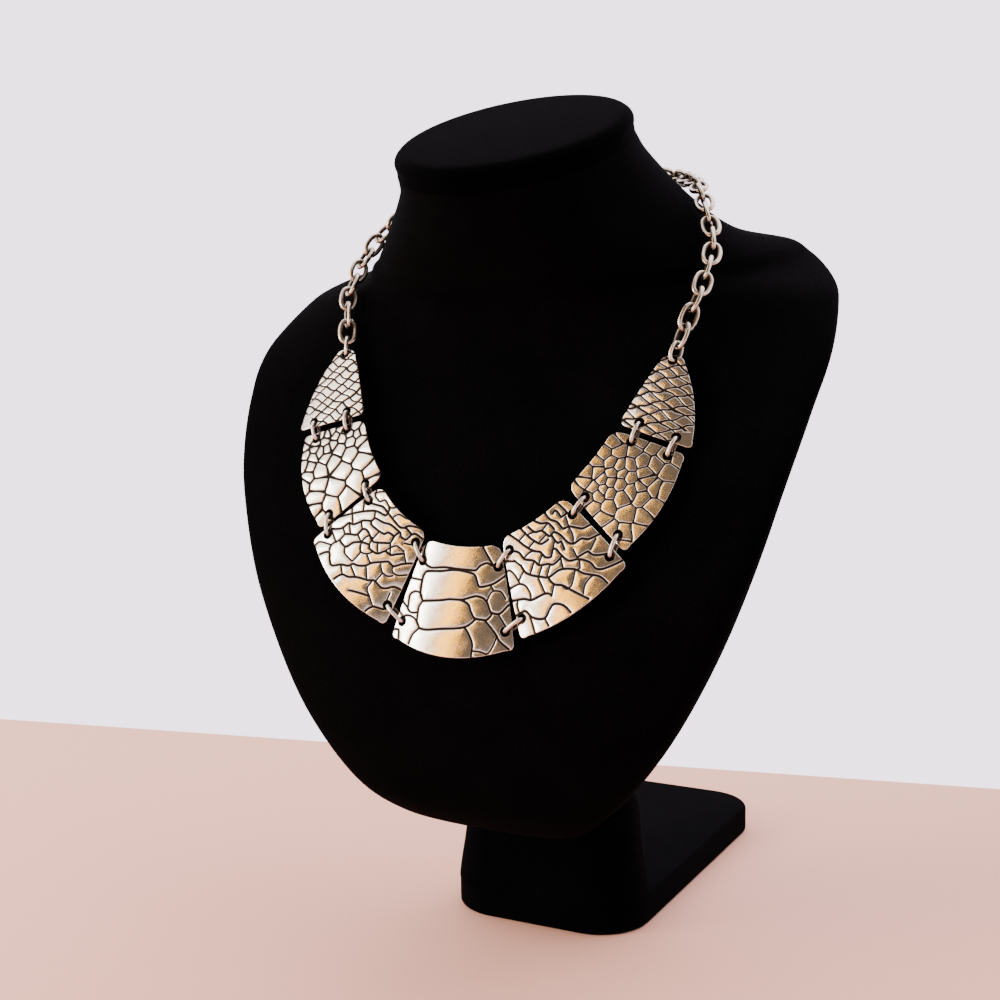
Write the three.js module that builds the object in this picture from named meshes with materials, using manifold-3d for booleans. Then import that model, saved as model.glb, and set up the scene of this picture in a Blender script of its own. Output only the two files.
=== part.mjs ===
// A bib choker of seven embossed plates and a cable chain, worn by a plain velvet neck bust
// on its own base. Millimetres, +Z up, the bust faces -Y, +X is the viewer's right.
// The origin is the centre of the underside of the base.
import * as THREE from 'three';
import { mergeVertices } from 'three/addons/utils/BufferGeometryUtils.js';
import loadManifold from 'manifold-3d';

const { Manifold, Mesh } = await loadManifold().then((library) => {
  library.setup();
  return library;
});

// ---------------------------------------------------------------- driving dimensions
const GAP = 0.3; // air left between two pieces that touch in the real object

const WELD = 1e-4; // vertices nearer than this are one
const CORNER_STEPS = 5; // straight pieces in each rounded corner of the base and its foot
const BASE = { halfWidth: 31.6, halfDepth: 60, thickness: 9, cornerRadius: 16.5, edgeRounding: 1 };

// Foot between the base plate and the body, a row per level, bottom to top.
const POST_LEVELS = [
  { z: 9.3, half: 31, front: -59.6, back: -30.5, corner: 15.5 },
  { z: 13, half: 30.6, front: -59.2, back: -30.5, corner: 15 },
  { z: 24, half: 28.9, front: -58, back: -31, corner: 14 },
  { z: 37, half: 27.6, front: -57, back: -32, corner: 12.5 },
  { z: 48, half: 22.5, front: -56, back: -35.5, corner: 10 },
  { z: 60, half: 21, front: -56, back: -40.5, corner: 7.4 },
];

// Body sections, bottom to top. `y` is where a section is widest, `front` and `back` its depth
// from there, the exponents its squareness and `tilt` the degrees its back is raised.
const BODY_SECTIONS = [
  { z: 33, half: 5.5, y: -68.2, front: 0.5, back: 14, frontPower: 2, backPower: 2, tilt: 0 },
  { z: 36, half: 13.5, y: -77.7, front: 1, back: 24, frontPower: 2, backPower: 2, tilt: 0 },
  { z: 42, half: 28.5, y: -87.2, front: 4.5, back: 36, frontPower: 2.2, backPower: 1.9, tilt: 0 },
  { z: 52, half: 41, y: -91.7, front: 10.5, back: 41, frontPower: 2.4, backPower: 1.8, tilt: 0 },
  { z: 72, half: 57, y: -92.7, front: 12.8, back: 44, frontPower: 2.6, backPower: 1.7, tilt: 0 },
  { z: 104, half: 73, y: -90.2, front: 13, back: 47, frontPower: 2.8, backPower: 1.7, tilt: 0 },
  { z: 134, half: 82.8, y: -85.2, front: 6.8, back: 49, frontPower: 3.1, backPower: 1.7, tilt: 0 },
  { z: 160, half: 88.3, y: -72.7, front: 6.8, back: 49, frontPower: 3, backPower: 1.7, tilt: 0 },
  { z: 173.5, half: 90, y: -61.7, front: 13.5, back: 49.5, frontPower: 2.2, backPower: 1.8, tilt: 10 },
  { z: 190.5, half: 85, y: -36.7, front: 36.5, back: 40, frontPower: 2, backPower: 1.9, tilt: 4 },
  { z: 202, half: 70, y: -12.7, front: 69.5, back: 28, frontPower: 2, backPower: 2, tilt: 7.5 },
  { z: 205.5, half: 65, y: -13.7, front: 74, back: 30.5, frontPower: 2, backPower: 2, tilt: 6.5 },
  { z: 208, half: 54.5, y: -31.2, front: 61, back: 38, frontPower: 2, backPower: 2, tilt: 6 },
  { z: 215, half: 44, y: -49.2, front: 47, back: 45, frontPower: 2, backPower: 2, tilt: 11 },
  { z: 231.5, half: 31.5, y: -64.7, front: 36.5, back: 36.5, frontPower: 2, backPower: 2, tilt: 19.5 },
];
const BODY_SEGMENTS = 36; // points round a section
const BODY_STEPS = 2; // rings from one section to the next

// Padded disc on the neck: height above the neck's cut and overhang past its outline.
const CAP_RINGS = [
  { height: 0.3, overhang: 0.5 },
  { height: 1.2, overhang: 1.45 },
  { height: 3, overhang: 1.6 },
  { height: 4, overhang: 1.6 },
  { height: 5.95, overhang: 0.55 },
  { height: 7, overhang: -1.4 },
];

const PLATE = { thickness: 1, bendRadius: 90, cornerRounding: 2.6, holeDiameter: 2.3, holeSides: 8 };
const PLATE_CURVE_STEPS = 4; // straight pieces in each curved stretch of a plate's outline
const BENT_SHEET = { halfSpan: 24, strips: 9 }; // larger than any plate, flat strips round the bend
const CUT_REACH = 8; // outlines and bores run this far in front of a plate and behind it

// Plates of the right half. A plate's own axes are u (towards the neck's middle), v (outwards,
// down the chest) and its normal; `lean` and `turn` aim the normal, `swing` aims v. Corners,
// edge bulges and holes run the same way round. `flatAt` is the u where the bend crosses zero.
const CENTRE_PLATE = {
  centre: [0, -104, 111.8], lean: 18.1, turn: 0, swing: 0, flatAt: 15,
  corners: [[11.7, -13.9], [19.3, 13.9], [-19.3, 13.9], [-11.7, -13.9]],
  bulges: [0.3, 3.6, 0.3, -1],
  holes: [[11.7, -8.3], [16, 8.9], [-16, 8.9], [-11.7, -8.3]],
};
const INNER_PLATE = {
  centre: [27.6, -101.1, 122.3], lean: 19.6, turn: -1, swing: 35.8, flatAt: 14,
  corners: [[10.1, -13.1], [17.9, 14.2], [-17.9, 12.3], [-11.1, -13.4]],
  bulges: [0.2, 2.6, 0.2, -0.8],
  holes: [[9.3, -9.3], [14.7, 9], [-14.7, 7.3], [-10.9, -8.2]],
};
const OUTER_PLATE = {
  centre: [44.2, -91.8, 143.6], lean: 23.8, turn: 4.2, swing: 59.3, flatAt: 12,
  corners: [[10, -11.7], [15.3, 12.5], [-15.1, 10], [-9.7, -10.9]],
  bulges: [0.2, 2.2, 0.2, -0.5],
  holes: [[9.4, -6.1], [12.4, 7.8], [-12.1, 5.7], [-9.7, -4.9]],
};
const END_PLATE = {
  centre: [51.2, -83.3, 161.5], lean: 28.8, turn: 4.8, swing: -4.6, flatAt: 6,
  corners: [[11.1, 4.7], [-11.1, 9.6], [-2.9, -16.4], [2.9, -16.4]],
  bulges: [0.2, 1.4, 0.3, 0.2],
  holes: [[5.1, 3.8], [-5.9, 6.8]],
  apexHole: [0, -14.9],
};
const APEX_HOLE_DIAMETER = 2.9;

const PLATE_RING = { wire: 1.1, halfHeight: 1.7, setBack: 0.12, arcSteps: 4, sides: 5 };
const END_RING = { wire: 1.1, halfLength: 2.65, halfWidth: 1.8, arcSteps: 4, sides: 5 };
const END_RING_TURN = -30; // degrees from standing square to the end plate
const LINK_ROLL = -7; // degrees each link turns on, until they lie flat on the neck
const FLAT_TURN = -90;

const LINK = { wire: 1.6, length: 9.1, width: 6.5, arcSteps: 4, sides: 5 };
const HIDDEN_LINK = { wire: 1.6, length: 9.1, width: 6.5, arcSteps: 4, sides: 4 };
const LINK_PITCH = 5.4;
const VISIBLE_LINKS = 13; // a side, from the end ring to behind the neck
const STRETCH_LINKS = 5; // hidden links soldered into one piece
const SOLDER_RADIUS = 0.95;

// The chain's line on the right half, from past the end plate to the middle of the back.
const CHAIN_ROUTE = [
  [53.2, -72.1, 182.1],
  [55.3, -67.9, 190.6],
  [55.9, -61.3, 198.4],
  [55, -54.6, 205.5],
  [50.7, -47.2, 213.3],
  [45.7, -39, 219.6],
  [40.5, -29.5, 222.9],
  [33.4, -19, 224.6],
  [20, -8.9, 226.3],
  [0, -4.4, 227.2],
];

const ROUTE_DIVISIONS = 4000; // pieces that its length is measured in

const CLASP_CURVE_STEPS = 8;
const CLASP = { halfLength: 7.5, halfWidth: 2.6, thickness: 1.8, holeDiameter: 3.2, holeInset: 3 };

const velvet = { color: 0x0b0b0d, roughness: 0.95, metalness: 0 };
const silver = { color: 0xaaa69d, roughness: 0.38, metalness: 1 };

const UP = new THREE.Vector3(0, 0, 1);

// ---------------------------------------------------------------- solids
function toManifold(geometry) {
  const bare = new THREE.BufferGeometry();
  bare.setAttribute('position', geometry.getAttribute('position'));
  if (geometry.index) {
    bare.setIndex(geometry.index);
  }
  const welded = mergeVertices(bare, WELD);
  return new Manifold(new Mesh({
    numProp: 3,
    vertProperties: new Float32Array(welded.getAttribute('position').array),
    triVerts: new Uint32Array(welded.index.array),
  }));
}

function toGeometry(solid) {
  const mesh = solid.getMesh();
  const geometry = new THREE.BufferGeometry();
  geometry.setAttribute('position', new THREE.BufferAttribute(new Float32Array(mesh.vertProperties), 3));
  geometry.setIndex(new THREE.BufferAttribute(new Uint32Array(mesh.triVerts), 1));
  return geometry;
}

// Closes a stack of equal outlines, each anticlockwise seen from the last one, into a solid.
function stackSolid(outlines) {
  const count = outlines[0].length;
  const points = outlines.flat();
  const firstMiddle = points.length;
  points.push(middleOf(outlines[0]), middleOf(outlines.at(-1)));
  const index = [];
  const lastRow = (outlines.length - 1) * count;
  for (let i = 0; i < count; i += 1) {
    const next = (i + 1) % count;
    index.push(firstMiddle, next, i);
    index.push(firstMiddle + 1, lastRow + i, lastRow + next);
    for (let row = 0; row < lastRow; row += count) {
      index.push(row + i, row + next, row + count + next);
      index.push(row + i, row + count + next, row + count + i);
    }
  }
  return new THREE.BufferGeometry().setFromPoints(points).setIndex(index);
}

function middleOf(outline) {
  const middle = new THREE.Vector3();
  outline.forEach((point) => middle.add(point));
  return middle.divideScalar(outline.length);
}

// Mirrors a solid to the other side of the bust.
function mirrored(geometry) {
  const copy = geometry.clone().scale(-1, 1, 1);
  const index = Array.from(copy.index.array);
  for (let i = 0; i < index.length; i += 3) {
    [index[i + 1], index[i + 2]] = [index[i + 2], index[i + 1]];
  }
  return copy.setIndex(index);
}

// Interpolates a row of values without overshooting between them (monotone cubic).
function smoothRow(values) {
  const last = values.length - 1;
  const rise = values.slice(1).map((value, i) => value - values[i]);
  const slopes = values.map((_, i) => {
    if (i > 0 && i < last) {
      return rise[i - 1] * rise[i] > 0 ? (2 * rise[i - 1] * rise[i]) / (rise[i - 1] + rise[i]) : 0;
    }
    const near = i === 0 ? rise[0] : rise[last - 1];
    const far = i === 0 ? rise[1] : rise[last - 2];
    const slope = (3 * near - far) / 2;
    if (slope * near <= 0) {
      return 0;
    }
    return near * far < 0 && Math.abs(slope) > 3 * Math.abs(near) ? 3 * near : slope;
  });
  return (position) => {
    const i = Math.min(Math.floor(position), last - 1);
    const t = position - i;
    const square = t * t;
    const cube = square * t;
    return (2 * cube - 3 * square + 1) * values[i] + (cube - 2 * square + t) * slopes[i]
      + (3 * square - 2 * cube) * values[i + 1] + (cube - square) * slopes[i + 1];
  };
}

// ---------------------------------------------------------------- bust
const signedPower = (value, power) => Math.sign(value) * Math.abs(value) ** power;

function sectionOutline(section, overhang = 0) {
  const tilt = THREE.MathUtils.degToRad(section.tilt);
  return Array.from({ length: BODY_SEGMENTS }, (_, i) => {
    const angle = (2 * Math.PI * i) / BODY_SEGMENTS;
    const inFront = Math.sin(angle) < 0;
    const power = 2 / (inFront ? section.frontPower : section.backPower);
    const depth = (inFront ? section.front : section.back) + overhang;
    const along = depth * signedPower(Math.sin(angle), power);
    return new THREE.Vector3(
      (section.half + overhang) * signedPower(Math.cos(angle), power),
      section.y + along * Math.cos(tilt),
      section.z + along * Math.sin(tilt),
    );
  });
}

function bodyLoft(sections) {
  const columns = Object.keys(sections[0]);
  const rows = columns.map((column) => smoothRow(sections.map((section) => section[column])));
  const outlines = [];
  for (let i = 0; i <= (sections.length - 1) * BODY_STEPS; i += 1) {
    const section = Object.fromEntries(columns.map((column, k) => [column, rows[k](i / BODY_STEPS)]));
    outlines.push(sectionOutline(section));
  }
  return stackSolid(outlines);
}

function roundedRectangle(half, front, back, corner, z, grow = 0) {
  const outline = [];
  const radius = corner + grow;
  const middles = [
    [half - corner, back - corner],
    [corner - half, back - corner],
    [corner - half, front + corner],
    [half - corner, front + corner],
  ];
  middles.forEach(([x, y], quarter) => {
    for (let i = 0; i <= CORNER_STEPS; i += 1) {
      const angle = (Math.PI / 2) * (quarter + i / CORNER_STEPS);
      outline.push(new THREE.Vector3(x + radius * Math.cos(angle), y + radius * Math.sin(angle), z));
    }
  });
  return outline;
}

function postSolid(grow) {
  const top = POST_LEVELS.length - 1;
  return stackSolid(POST_LEVELS.map(({ z, half, front, back, corner }, i) => (
    roundedRectangle(half, front, back, corner, i === top ? z + grow : z, grow)
  )));
}

function bustBody() {
  const body = toManifold(bodyLoft(BODY_SECTIONS));
  return toGeometry(body.subtract(toManifold(postSolid(GAP))));
}

function neckCap() {
  const neck = BODY_SECTIONS.at(-1);
  const tilt = THREE.MathUtils.degToRad(neck.tilt);
  const normal = new THREE.Vector3(0, -Math.sin(tilt), Math.cos(tilt));
  return stackSolid(CAP_RINGS.map((ring) => (
    sectionOutline(neck, ring.overhang).map((point) => point.addScaledVector(normal, ring.height))
  )));
}

function basePlate() {
  const { halfWidth, halfDepth, thickness, cornerRadius, edgeRounding } = BASE;
  const levels = [
    { z: 0, inset: edgeRounding },
    { z: edgeRounding, inset: 0 },
    { z: thickness - edgeRounding, inset: 0 },
    { z: thickness, inset: edgeRounding },
  ];
  return stackSolid(levels.map(({ z, inset }) => (
    roundedRectangle(halfWidth, -halfDepth, halfDepth, cornerRadius, z, -inset)
  )));
}

// ---------------------------------------------------------------- plates
function plateFrame(plate) {
  const lean = THREE.MathUtils.degToRad(plate.lean);
  const turn = THREE.MathUtils.degToRad(plate.turn);
  const swing = THREE.MathUtils.degToRad(plate.swing);
  const normal = new THREE.Vector3(
    Math.sin(turn) * Math.cos(lean),
    -Math.cos(turn) * Math.cos(lean),
    Math.sin(lean),
  );
  const down = UP.clone().negate().projectOnPlane(normal).normalize();
  const across = normal.clone().cross(down);
  const v = down.multiplyScalar(Math.cos(swing)).addScaledVector(across, Math.sin(swing));
  const u = v.clone().cross(normal);
  return new THREE.Matrix4().makeBasis(u, v, normal).setPosition(...plate.centre);
}

// Height of a plate's front face above its own plane at u.
function bendHeight(plate, u) {
  return Math.sqrt(PLATE.bendRadius ** 2 - u ** 2) - Math.sqrt(PLATE.bendRadius ** 2 - plate.flatAt ** 2);
}

function plateOutline(plate) {
  const corners = plate.corners.map(([u, v]) => new THREE.Vector2(u, v));
  const rounding = PLATE.cornerRounding;
  const shape = new THREE.Shape();
  corners.forEach((corner, i) => {
    const next = corners[(i + 1) % corners.length];
    const after = corners[(i + 2) % corners.length];
    const direction = next.clone().sub(corner).normalize();
    const start = corner.clone().addScaledVector(direction, rounding);
    const end = next.clone().addScaledVector(direction, -rounding);
    const outward = new THREE.Vector2(direction.y, -direction.x);
    const control = start.clone().add(end).multiplyScalar(0.5).addScaledVector(outward, 2 * plate.bulges[i]);
    const turned = next.clone().addScaledVector(after.clone().sub(next).normalize(), rounding);
    if (i === 0) {
      shape.moveTo(start.x, start.y);
    }
    shape.quadraticCurveTo(control.x, control.y, end.x, end.y);
    shape.quadraticCurveTo(next.x, next.y, turned.x, turned.y);
  });
  return shape;
}

// A sheet bent round the v axis, wide enough for every plate.
function bentSheet(plate) {
  const { halfSpan, strips } = BENT_SHEET;
  const front = Array.from({ length: strips + 1 }, (_, i) => {
    const u = halfSpan - (2 * halfSpan * i) / strips;
    return new THREE.Vector2(u, bendHeight(plate, u));
  });
  const back = front.map((point) => new THREE.Vector2(point.x, point.y - PLATE.thickness)).reverse();
  const sheet = new THREE.ExtrudeGeometry(new THREE.Shape([...front, ...back]), {
    depth: 2 * halfSpan,
    bevelEnabled: false,
  });
  return sheet.translate(0, 0, -halfSpan).rotateX(Math.PI / 2);
}

function plateSolid(plate) {
  const blank = new THREE.ExtrudeGeometry(plateOutline(plate), {
    depth: 2 * CUT_REACH,
    bevelEnabled: false,
    curveSegments: PLATE_CURVE_STEPS,
  }).translate(0, 0, -CUT_REACH);
  let solid = toManifold(blank).intersect(toManifold(bentSheet(plate)));
  const bores = plate.holes.map((at) => ({ at, diameter: PLATE.holeDiameter }));
  if (plate.apexHole) {
    bores.push({ at: plate.apexHole, diameter: APEX_HOLE_DIAMETER });
  }
  bores.forEach(({ at: [u, v], diameter }) => {
    const radius = diameter / 2 / Math.cos(Math.PI / PLATE.holeSides);
    const bore = new THREE.CylinderGeometry(radius, radius, 2 * CUT_REACH, PLATE.holeSides);
    solid = solid.subtract(toManifold(bore.rotateX(Math.PI / 2).translate(u, v, 0)));
  });
  return toGeometry(solid).applyMatrix4(plateFrame(plate));
}

// Middle of the sheet at a hole and the way the sheet faces there.
function holeAnchor(plate, [u, v]) {
  const frame = plateFrame(plate);
  const point = new THREE.Vector3(u, v, bendHeight(plate, u) - PLATE.thickness / 2).applyMatrix4(frame);
  const facing = new THREE.Vector3(u, 0, Math.sqrt(PLATE.bendRadius ** 2 - u ** 2));
  return { point, facing: facing.transformDirection(frame) };
}

// ---------------------------------------------------------------- rings and links
// A closed oval of round wire; `along` is its long axis, `normal` is square to its plane.
function wireOval({ centre, along, normal, halfLength, halfWidth, wire, arcSteps, sides }) {
  const across = normal.clone().cross(along).normalize();
  const straight = halfLength - halfWidth;
  const sections = [];
  [0, 1].forEach((end) => {
    for (let i = 0; i <= arcSteps; i += 1) {
      const angle = Math.PI * (end - 0.5 + i / arcSteps);
      const outward = along.clone().multiplyScalar(Math.cos(angle)).addScaledVector(across, Math.sin(angle));
      const middle = centre.clone().addScaledVector(along, end === 0 ? straight : -straight);
      middle.addScaledVector(outward, halfWidth);
      sections.push({ middle, outward });
    }
  });
  const points = [];
  sections.forEach(({ middle, outward }) => {
    for (let k = 0; k < sides; k += 1) {
      const angle = (2 * Math.PI * k) / sides;
      points.push(middle.clone().addScaledVector(outward, (wire / 2) * Math.cos(angle))
        .addScaledVector(normal, (wire / 2) * Math.sin(angle)));
    }
  });
  const index = [];
  sections.forEach((_, i) => {
    const row = i * sides;
    const nextRow = ((i + 1) % sections.length) * sides;
    for (let k = 0; k < sides; k += 1) {
      const next = (k + 1) % sides;
      index.push(row + k, nextRow + k, nextRow + next);
      index.push(row + k, nextRow + next, row + next);
    }
  });
  return new THREE.BufferGeometry().setFromPoints(points).setIndex(index);
}

function plateRing(nearPlate, nearHole, farPlate, farHole) {
  const near = holeAnchor(nearPlate, nearHole);
  const far = holeAnchor(farPlate, farHole);
  const span = far.point.clone().sub(near.point);
  const along = span.clone().normalize();
  const facing = near.facing.clone().add(far.facing).projectOnPlane(along).normalize();
  const centre = near.point.clone().add(far.point).multiplyScalar(0.5);
  return wireOval({
    centre: centre.addScaledVector(facing, -PLATE_RING.setBack),
    along,
    normal: facing.clone().cross(along),
    halfLength: span.length() / 2,
    halfWidth: PLATE_RING.halfHeight,
    wire: PLATE_RING.wire,
    arcSteps: PLATE_RING.arcSteps,
    sides: PLATE_RING.sides,
  });
}

// The whole loop runs from the right end plate round the back to the left one.
const halfRoute = [
  holeAnchor(END_PLATE, END_PLATE.apexHole).point,
  ...CHAIN_ROUTE.map((point) => new THREE.Vector3(...point)),
];
const route = new THREE.CatmullRomCurve3([
  ...halfRoute,
  ...halfRoute.slice(0, -1).reverse().map((point) => new THREE.Vector3(-point.x, point.y, point.z)),
]);
route.arcLengthDivisions = ROUTE_DIVISIONS;
const routeLength = route.getLength();

// An oval's plane holds `along` and the way out from the neck, turned about `along`.
function ovalPose(centre, along, outward, turn) {
  const inPlane = outward.clone().applyAxisAngle(along, THREE.MathUtils.degToRad(turn));
  return { centre, along, normal: inPlane.cross(along).normalize() };
}

function endRingPose() {
  const { point, facing } = holeAnchor(END_PLATE, END_PLATE.apexHole);
  const reach = 2 * END_RING.halfLength;
  const along = route.getPointAt(reach / routeLength).sub(point).normalize();
  const outward = facing.projectOnPlane(along).normalize();
  const centre = point.clone().addScaledVector(along, END_RING.halfLength);
  return ovalPose(centre, along, outward, END_RING_TURN);
}

// Every link of the right half, from the end ring to the clasp.
function linkPoses() {
  const lead = 2 * END_RING.halfLength - END_RING.wire / 2 - GAP + LINK.length / 2 - LINK.wire;
  const tail = CLASP.halfLength - CLASP.holeInset + (LINK.length - LINK.wire) / 2;
  const span = routeLength / 2 - lead - tail;
  const count = Math.ceil(span / LINK_PITCH) + 1;
  const poses = [];
  let outward = holeAnchor(END_PLATE, END_PLATE.apexHole).facing;
  for (let i = 0; i < count; i += 1) {
    const at = (lead + (span * i) / (count - 1)) / routeLength;
    const along = route.getTangentAt(at);
    outward = outward.clone().projectOnPlane(along).normalize();
    const roll = Math.max(END_RING_TURN + LINK_ROLL * (i + 1), FLAT_TURN);
    poses.push(ovalPose(route.getPointAt(at), along, outward, roll + (i % 2 === 0 ? 90 : 0)));
  }
  return poses;
}

const ovalOf = (pose, link) => wireOval({
  ...pose,
  halfLength: (link.length - link.wire) / 2,
  halfWidth: (link.width - link.wire) / 2,
  wire: link.wire,
  arcSteps: link.arcSteps,
  sides: link.sides,
});

// Hidden links soldered to one another where they cross.
function solderedStretch(poses) {
  let solid = toManifold(ovalOf(poses[0], HIDDEN_LINK));
  poses.slice(1).forEach((pose, i) => {
    const bead = new THREE.IcosahedronGeometry(SOLDER_RADIUS, 0);
    const crossing = poses[i].centre.clone().add(pose.centre).multiplyScalar(0.5);
    bead.translate(crossing.x, crossing.y, crossing.z);
    solid = solid.add(toManifold(ovalOf(pose, HIDDEN_LINK))).add(toManifold(bead));
  });
  return toGeometry(solid);
}

function clasp(lastPose) {
  const { halfLength, halfWidth, thickness, holeDiameter, holeInset } = CLASP;
  const shape = new THREE.Shape();
  const straight = halfLength - halfWidth;
  shape.absarc(straight, 0, halfWidth, -Math.PI / 2, Math.PI / 2);
  shape.absarc(-straight, 0, halfWidth, Math.PI / 2, (3 * Math.PI) / 2);
  shape.closePath();
  [-1, 1].forEach((side) => {
    const hole = new THREE.Path();
    hole.absarc(side * (halfLength - holeInset), 0, holeDiameter / 2, 0, 2 * Math.PI, true);
    shape.holes.push(hole);
  });
  const bar = new THREE.ExtrudeGeometry(shape, {
    depth: thickness,
    bevelEnabled: false,
    curveSegments: CLASP_CURVE_STEPS,
  });
  bar.translate(0, 0, -thickness / 2);
  const across = new THREE.Vector3(1, 0, 0);
  const bore = lastPose.normal.clone().cross(across).normalize();
  const side = bore.clone().cross(across);
  const end = CHAIN_ROUTE.at(-1);
  return toGeometry(toManifold(bar)).applyMatrix4(
    new THREE.Matrix4().makeBasis(across, side, bore).setPosition(...end),
  );
}

// ---------------------------------------------------------------- assembly
const group = new THREE.Group();

function place(name, geometry, look) {
  const flat = geometry.toNonIndexed();
  flat.computeVertexNormals();
  const mesh = new THREE.Mesh(flat, new THREE.MeshStandardMaterial(look));
  mesh.name = name;
  group.add(mesh);
}

function placePair(name, geometry) {
  place(`${name}_right`, geometry, silver);
  place(`${name}_left`, mirrored(geometry), silver);
}

place('base_plate', basePlate(), velvet);
place('base_post', postSolid(0), velvet);
place('bust_body', bustBody(), velvet);
place('neck_cap', neckCap(), velvet);

place('plate_centre', plateSolid(CENTRE_PLATE), silver);
placePair('plate_inner', plateSolid(INNER_PLATE));
placePair('plate_outer', plateSolid(OUTER_PLATE));
placePair('plate_end', plateSolid(END_PLATE));

// Two rings join each pair of neighbours; holes 2 and 3 of a plate meet 1 and 0 of the next.
const neighbours = [
  { name: 'ring_centre', near: CENTRE_PLATE, far: INNER_PLATE },
  { name: 'ring_inner', near: INNER_PLATE, far: OUTER_PLATE },
  { name: 'ring_outer', near: OUTER_PLATE, far: END_PLATE },
];
neighbours.forEach(({ name, near, far }) => {
  placePair(`${name}_low`, plateRing(near, near.holes[2], far, far.holes[1]));
  placePair(`${name}_high`, plateRing(near, near.holes[3], far, far.holes[0]));
});

placePair('ring_chain', wireOval({ ...END_RING, ...endRingPose() }));
const poses = linkPoses();
poses.slice(0, VISIBLE_LINKS).forEach((pose, i) => {
  placePair(`link_${String(i + 1).padStart(2, '0')}`, ovalOf(pose, LINK));
});
for (let i = VISIBLE_LINKS; i < poses.length; i += STRETCH_LINKS) {
  const number = 1 + (i - VISIBLE_LINKS) / STRETCH_LINKS;
  placePair(`chain_back_${number}`, solderedStretch(poses.slice(i, i + STRETCH_LINKS)));
}
place('clasp', clasp(poses.at(-1)), silver);

export default group;
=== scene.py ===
"""Looks of the plate choker on its black velvet neck bust.

Shapes are worked out in millimetres and become metres when a mesh is made. The bust faces -Y, +X is
the viewer's right and the origin is the middle of the underside of the base.
"""
import math

import bmesh
import bpy
import numpy as np
from mathutils import Matrix, Quaternion, Vector
from mathutils.geometry import delaunay_2d_cdt


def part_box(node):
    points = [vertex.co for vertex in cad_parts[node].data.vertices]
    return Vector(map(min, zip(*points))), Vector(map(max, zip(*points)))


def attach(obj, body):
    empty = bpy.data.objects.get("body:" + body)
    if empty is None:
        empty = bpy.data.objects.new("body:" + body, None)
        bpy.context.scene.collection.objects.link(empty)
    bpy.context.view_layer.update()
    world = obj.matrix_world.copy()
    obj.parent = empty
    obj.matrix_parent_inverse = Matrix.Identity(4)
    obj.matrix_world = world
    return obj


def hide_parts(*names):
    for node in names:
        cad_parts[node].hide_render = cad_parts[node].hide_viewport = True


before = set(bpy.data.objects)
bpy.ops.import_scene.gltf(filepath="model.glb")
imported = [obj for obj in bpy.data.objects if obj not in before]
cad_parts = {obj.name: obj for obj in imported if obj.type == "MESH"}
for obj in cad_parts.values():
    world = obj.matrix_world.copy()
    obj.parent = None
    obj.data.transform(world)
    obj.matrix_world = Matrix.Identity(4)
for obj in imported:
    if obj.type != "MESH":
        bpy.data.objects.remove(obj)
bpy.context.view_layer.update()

MM = 0.001
WELD_DISTANCE = 0.002
BODY = "root"

# -------------------- bust
# As the part has it, but for a neck that is slightly wider at its top, as in the photo.
BASE = {"half_width": 31.6, "half_depth": 60, "thickness": 9, "corner": 16.5, "edge": 1.3}
BASE_EDGE_STEPS = 6

# Foot: height, half width, front, back, corner radius.
POST_LEVELS = [
    (9, 31, -59.6, -30.5, 15.5),
    (13, 30.6, -59.2, -30.5, 15),
    (24, 28.9, -58, -31, 14),
    (37, 27.6, -57, -32, 12.5),
    (48, 22.5, -56, -35.5, 10),
    (60, 21, -56, -40.5, 7.4),
]
POST_STEPS = 6
# Half of the shortest flat side between two corners of the foot.
SHORTEST_HALF_SIDE = 0.5

# Body sections: height, half width, middle y, front depth, back depth, squareness of the front
# and of the back, and the degrees that the back is raised.
BODY_SECTIONS = [
    (33, 5.5, -68.2, 0.5, 14, 2, 2, 0),
    (36, 13.5, -77.7, 1, 24, 2, 2, 0),
    (42, 28.5, -87.2, 4.5, 36, 2.2, 1.9, 0),
    (52, 41, -91.7, 10.5, 41, 2.4, 1.8, 0),
    (72, 57, -92.7, 12.8, 44, 2.6, 1.7, 0),
    (104, 73, -90.2, 13, 47, 2.8, 1.7, 0),
    (134, 82.8, -85.2, 6.8, 49, 3.1, 1.7, 0),
    (160, 88.3, -72.7, 6.8, 49, 3, 1.7, 0),
    (173.5, 90, -61.7, 13.5, 49.5, 2.2, 1.8, 10),
    (190.5, 85, -36.7, 36.5, 40, 2, 1.9, 4),
    (202, 70, -12.7, 69.5, 28, 2, 2, 7.5),
    (205.5, 65, -13.7, 74, 30.5, 2, 2, 6.5),
    (208, 54.5, -31.2, 61, 38, 2, 2, 6),
    (215, 44, -49.2, 47, 45, 2, 2, 11),
    (228, 34, -61.4, 38.6, 38.2, 2, 2, 17.7),
    (231.5, 32.9, -64.7, 37.9, 37.9, 2, 2, 19.5),
]
BODY_SEGMENTS = 180
BODY_STEPS = 8

# Velvet covered disc on the neck: height above the cut, overhang past its outline.
CAP_PROFILE = [
    (0, 0.05), (1.6, 0.02), (2.2, -0.05), (2.7, 0.02), (3.4, 0.22), (4.2, 0.28), (5, 0.05),
    (6, -0.8), (6.7, -2), (7, -3.8),
]
CAP_STEPS = 4
CAP_DOME = 0.5
CAP_PEAK_SHARE = 0.1
CAP_RINGS_INSIDE = 8

# -------------------- plates
# As the part has them, but for the size of the holes and a flatter point on the end plates. Corners,
# bulges and holes are in a plate's own (u, v).
THICKNESS = 1
BEND_RADIUS = 90
CORNER_ROUNDING = 2.6
HOLE_RADIUS = 1.25
APEX_HOLE_RADIUS = 1.2

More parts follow.
